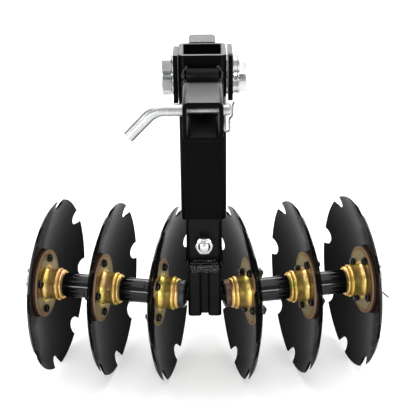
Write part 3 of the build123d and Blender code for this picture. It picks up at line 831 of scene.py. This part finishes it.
# Axles with threaded outer ends
for side in sides:
    origin, outward = axle_of(side)
    reaches = [(vertex.co - origin).dot(outward) for vertex in frame["nodes"][f"axle_{side}"].data.vertices]
    start, end = min(reaches), max(reaches)
    axle_low, axle_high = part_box(f"axle_{side}")
    radius = (axle_high.z - axle_low.z) / 2
    plain = end - AXLE_THREAD
    axle = Shell()
    axle.loft([circle(radius - AXLE_EASE, start), circle(radius, start + AXLE_EASE), circle(radius, plain)]
              + thread_rings(2 * radius, AXLE_PITCH, plain + MM, AXLE_THREAD - AXLE_PLAIN)
              + [circle(radius * AXLE_POINT, end)])
    axle.place(axis_matrix(origin, outward))
    keep(axle.object(f"axle_{side}_threaded"), "frame", "bare_steel", f"axle_{side}")

# Weld beads
shank_low, shank_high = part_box("hitch_shank")
bar_low, bar_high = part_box("stop_bar")
tab_low, tab_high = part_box("rear_tab")
block_low, block_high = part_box("gang_block_left")
block_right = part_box("gang_block_right")[1].x
bar_radius = (bar_high.z - bar_low.z) / 2
bar_z = (bar_low.z + bar_high.z) / 2
bar_y = (bar_low.y + bar_high.y) / 2
welds = Shell()

# Round the shank, where it meets the mast
shank_half = (shank_high.x - shank_low.x) / 2
ring = [(x, mast_low.y, z) for x, z in rounded_square(shank_half, SHANK_CORNER)]
add_bead(welds, ring, BEAD_RADIUS, 1.0, closed=True)

# Ends of the stop bar
arc_steps = 8
for end, sign in ((bar_low.x, -1), (bar_high.x, 1)):
    for layer in range(BAR_LAYERS):
        x = end + sign * LAYER_OUT * layer
        reach = bar_radius - LAYER_IN * layer
        arc = []
        for k in range(arc_steps + 1):
            angle = math.radians(BAR_ARC[0] + (BAR_ARC[1] - BAR_ARC[0]) * k / arc_steps)
            arc.append((x, bar_y + reach * math.cos(angle), bar_z + reach * math.sin(angle)))
        add_bead(welds, arc, BAR_BEAD, 2.0 + layer + end, rough=LUMPY_BEAD)
    foot_z = shank_high.z + 0.5 * MM
    foot = [(end, bar_y - 3 * MM, foot_z), (end, mast_low.y - MM, foot_z)]
    add_bead(welds, foot, BEAD_RADIUS, 3.0 + end)
    rise = [(end, mast_low.y, shank_high.z), (end, mast_low.y, bar_high.z - MM)]
    add_bead(welds, rise, BEAD_RADIUS, 4.0 + end)

# Root of the rear tab
tab_y, tab_top = tab_low.y, tab_high.z - TAB_WELD_DROP
add_bead(welds, [(tab_low.x + MM, tab_y, tab_top), (tab_high.x - MM, tab_y, tab_top)], TAB_BEADS[0], 5.0)
add_bead(welds, [(tab_low.x, tab_y, tab_low.z), (tab_high.x, tab_y, tab_low.z)], TAB_BEADS[1], 6.0)
for x in (tab_low.x, tab_high.x):
    add_bead(welds, [(x, tab_y, tab_low.z), (x, tab_y, tab_high.z - 1.5 * MM)], TAB_BEADS[2], 7.0 + x)

# Foot of the lower tube: five passes in front, given as y, z and half length, then the sides and the rear
half = (block_right - block_low.x) / 2 - 1.5 * MM
top = block_high.z
ledge = tube_low.y - block_low.y
passes = (
    (tube_low.y - 0.5 * MM, top + 2.4 * MM, half - 3 * MM),
    (tube_low.y - 0.5 * ledge, top + 0.6 * MM, half),
    (block_low.y + 1.2 * MM, top - 0.6 * MM, half + 1.4 * MM),
    (block_low.y + 1.4 * MM, top - 4.4 * MM, half + 1.2 * MM),
    (block_low.y + 1.8 * MM, top - 7.6 * MM, half),
)
for row, (y, z, reach) in enumerate(passes):
    add_bead(welds, [(-reach, y, z), (reach, y, z)], FOOT_BEAD, 9.0 + row, rough=COARSE_BEAD)
for sign in (-1, 1):
    x = sign * (half + 1.2 * MM)
    add_bead(welds, [(x, tube_low.y - 8 * MM, top), (x, tube_high.y, top)], BEAD_RADIUS, 13.0 + sign)
add_bead(welds, [(-half, tube_high.y, top), (half, tube_high.y, top)], BEAD_RADIUS, 16.0)
keep(welds.object("weld_beads", crease=BEAD_CREASE), "frame", "frame_paint", material=weld_paint)

# Studio
floor_z = cad_box[0].z
floor_corners = [(-x * FLOOR_HALF, -y * FLOOR_HALF, floor_z) for x, y in CORNERS]
floor = mesh_object("studio_floor", floor_corners, [(0, 1, 2, 3)])
dress(floor, floor_finish())

scene = bpy.context.scene
scene.view_settings.view_transform = "Standard"
world = bpy.data.worlds.new("studio_air")
scene.world = world
world.use_nodes = True
air = world.node_tree
background = air.nodes["Background"]
background.inputs["Color"].default_value = (1, 1, 1, 1)
seen = air.nodes.new("ShaderNodeLightPath")
strength = air.nodes.new("ShaderNodeMapRange")
strength.inputs["To Min"].default_value = WORLD_LIGHT
strength.inputs["To Max"].default_value = WORLD_SEEN
air.links.new(seen.outputs["Is Camera Ray"], strength.inputs["Value"])
air.links.new(strength.outputs["Result"], background.inputs["Strength"])


def softbox(name, place, aim, width, depth, power):
    """Area lamp at a place that faces a point, with its size in metres and its power in watts."""
    lamp = bpy.data.lights.new(name, "AREA")
    lamp.shape = "RECTANGLE"
    lamp.size = width
    lamp.size_y = depth
    lamp.energy = power
    thing = bpy.data.objects.new(name, lamp)
    thing.location = place
    thing.rotation_euler = (Vector(aim) - Vector(place)).to_track_quat("-Z", "Y").to_euler()
    thing.visible_camera = False
    scene.collection.objects.link(thing)


middle = (0, 0.08, -0.2)
left_gang, right_gang = (-0.15, 0.1, -0.31), (0.15, 0.1, -0.31)
softbox("softbox_rear", (0, 2.3, 1.25), middle, width=3.0, depth=1.4, power=60)
softbox("softbox_top", (0, 0.1, 2.2), middle, width=3.0, depth=3.0, power=40)
softbox("softbox_left", (-2.2, -0.6, 0.8), middle, width=0.7, depth=1.6, power=10)
softbox("softbox_right", (2.2, -0.6, 0.8), middle, width=0.7, depth=1.6, power=10)
softbox("softbox_front_left", (-0.72, -1.1, 0.015), left_gang, width=0.7, depth=0.16, power=6)
softbox("softbox_front_right", (0.72, -1.1, 0.015), right_gang, width=0.7, depth=0.16, power=6)

# Camera at the photograph's viewpoint
yaw, pitch, roll = (math.radians(angle) for angle in (CAMERA_YAW, CAMERA_PITCH, CAMERA_ROLL))
forward = Vector((math.sin(yaw) * math.cos(pitch), math.cos(yaw) * math.cos(pitch), -math.sin(pitch)))
level = Vector((math.cos(yaw), -math.sin(yaw), 0))
above = level.cross(forward)
right = level * math.cos(roll) + above * math.sin(roll)
up = above * math.cos(roll) - level * math.sin(roll)
camera_data = bpy.data.cameras.new("photo_camera")
camera_data.sensor_width = CAMERA_SENSOR
camera_data.lens = CAMERA_LENS
camera_data.clip_start = CAMERA_NEAR
camera = bpy.data.objects.new("photo_camera", camera_data)
turned = Matrix((right, up, -forward)).transposed().to_4x4()
camera.matrix_world = Matrix.Translation(CAMERA_PLACE) @ turned
scene.collection.objects.link(camera)
scene.camera = camera

bpy.context.view_layer.update()
